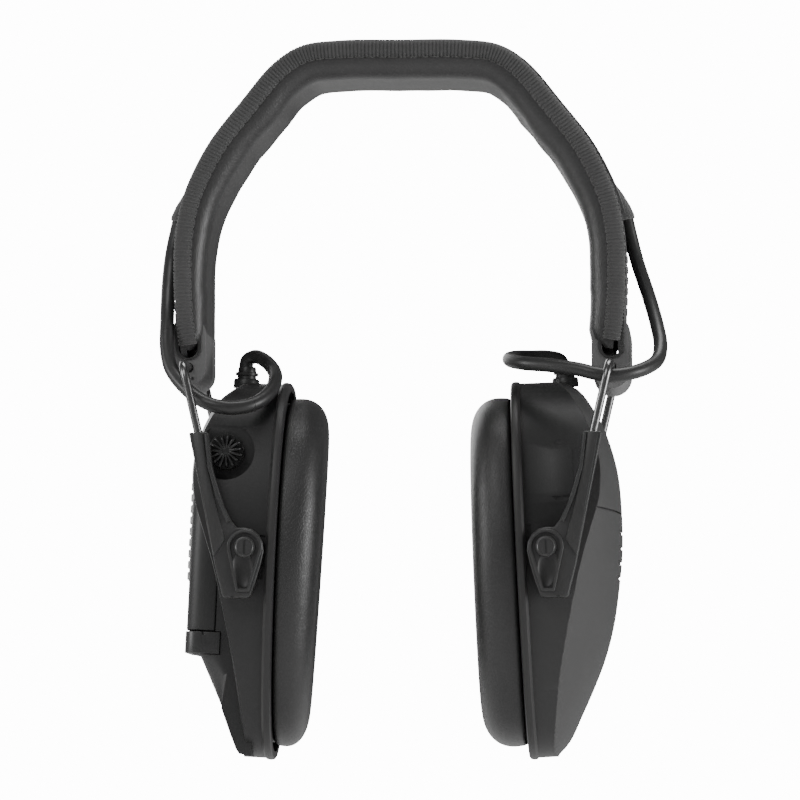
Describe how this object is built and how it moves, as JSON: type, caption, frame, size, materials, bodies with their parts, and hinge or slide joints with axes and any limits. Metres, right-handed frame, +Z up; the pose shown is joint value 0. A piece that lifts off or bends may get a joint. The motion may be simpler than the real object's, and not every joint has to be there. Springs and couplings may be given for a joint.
{
  "type": "electronic earmuff hearing protector",
  "caption": "Slim folding electronic earmuff: padded sprung headband, wire forks with sliding arms, two tilting ear cups, volume knob, battery door and two outside cable tubes.",
  "frame": {"origin": "where the crown of the head meets the underside of the headband pad", "axes": "+Z up, +X towards the cup without the battery door (the right of a front view), -Y to the front, where the volume knob is"},
  "size_m": [0.153, 0.0878, 0.2149],
  "materials": {
    "leather": "soft matte imitation leather",
    "fabric": "woven, matte",
    "tape": "ribbed binding tape",
    "steel": "drawn wire",
    "rubber": "smooth, matte",
    "nylon": "moulded, fine grain",
    "arm_plastic": "moulded, fine grain",
    "shell_plastic": "moulded, fine grain",
    "pin_plastic": "moulded, satin",
    "soft_plastic": "rubberised",
    "foam": "open-cell foam",
    "board": "coated circuit board",
    "battery": "printed sleeve, plain",
    "panel": "ribbed insert"
  },
  "bodies": {
    "headband": {"headband_pad": "leather", "headband_cover": "fabric", "cable_cover_strip": "fabric", "left_cable_exit_flap": "fabric", "right_cable_exit_flap": "fabric", "binding_front": "tape", "binding_rear": "tape", "headband_wire_front": "steel", "headband_wire_rear": "steel", "headband_cable": "rubber", "left_cable_tube": "rubber", "right_cable_tube": "rubber", "left_hinge_bracket": "nylon", "right_hinge_bracket": "nylon"},
    "left_fork": {"left_fork_wire": "steel"},
    "left_arms": {"left_front_arm": "arm_plastic", "left_rear_arm": "arm_plastic"},
    "left_cup": {"left_cup_shell": "shell_plastic", "left_baffle_plate": "shell_plastic", "left_cushion_ring": "shell_plastic", "left_speaker": "shell_plastic", "left_front_pivot_pin": "pin_plastic", "left_rear_pivot_pin": "pin_plastic", "left_ear_cushion": "leather", "left_foam_insert": "foam", "left_sound_absorber": "foam", "left_cable_gland": "rubber", "left_microphone": "rubber", "left_circuit_board": "board", "volume_control": "steel", "battery_tray": "shell_plastic", "battery_front": "battery", "battery_rear": "battery"},
    "right_fork": {"right_fork_wire": "steel"},
    "right_arms": {"right_front_arm": "arm_plastic", "right_rear_arm": "arm_plastic"},
    "right_cup": {"right_cup_shell": "shell_plastic", "right_baffle_plate": "shell_plastic", "right_cushion_ring": "shell_plastic", "right_speaker": "shell_plastic", "right_front_pivot_pin": "pin_plastic", "right_rear_pivot_pin": "pin_plastic", "right_ear_cushion": "leather", "right_foam_insert": "foam", "right_sound_absorber": "foam", "right_cable_gland": "rubber", "right_microphone": "rubber", "right_circuit_board": "board", "right_outer_skin": "soft_plastic"},
    "volume_knob": {"volume_knob": "pin_plastic"},
    "battery_door": {"battery_door": "shell_plastic", "battery_latch": "shell_plastic", "decor_panel": "panel"}
  },
  "joints": [
    {"name": "left_fold", "type": "hinge", "parent": "headband", "child": "left_fork", "pos_m": [-0.0629, 0, -0.0854], "axis": [0, 1, 0], "range_deg": [-25, 0], "deforming": ["left_cable_tube"]},
    {"name": "left_height", "type": "slide", "parent": "left_fork", "child": "left_arms", "axis": [0.225, 0, -0.9744], "range_m": [-0.005, 0.018]},
    {"name": "left_cup_tilt", "type": "hinge", "parent": "left_arms", "child": "left_cup", "pos_m": [-0.0442, 0, -0.14], "axis": [0, -1, 0], "range_deg": [-8, 4]},
    {"name": "right_fold", "type": "hinge", "parent": "headband", "child": "right_fork", "pos_m": [0.0629, 0, -0.0854], "axis": [0, 1, 0], "range_deg": [0, 25], "deforming": ["right_cable_tube"]},
    {"name": "right_height", "type": "slide", "parent": "right_fork", "child": "right_arms", "axis": [0.225, 0, 0.9744], "range_m": [-0.018, 0.005]},
    {"name": "right_cup_tilt", "type": "hinge", "parent": "right_arms", "child": "right_cup", "pos_m": [0.0442, 0, -0.14], "axis": [0, -1, 0], "range_deg": [-4, 8]},
    {"name": "volume_turn", "type": "hinge", "parent": "left_cup", "child": "volume_knob", "pos_m": [-0.05055, -0.032, -0.11127], "axis": [0, 1, 0], "range_deg": [0, 270]},
    {"name": "battery_door_hinge", "type": "hinge", "parent": "left_cup", "child": "battery_door", "pos_m": [-0.06244, 0, -0.11711], "axis": [0, 1, 0], "range_deg": [0, 70]}
  ]
}
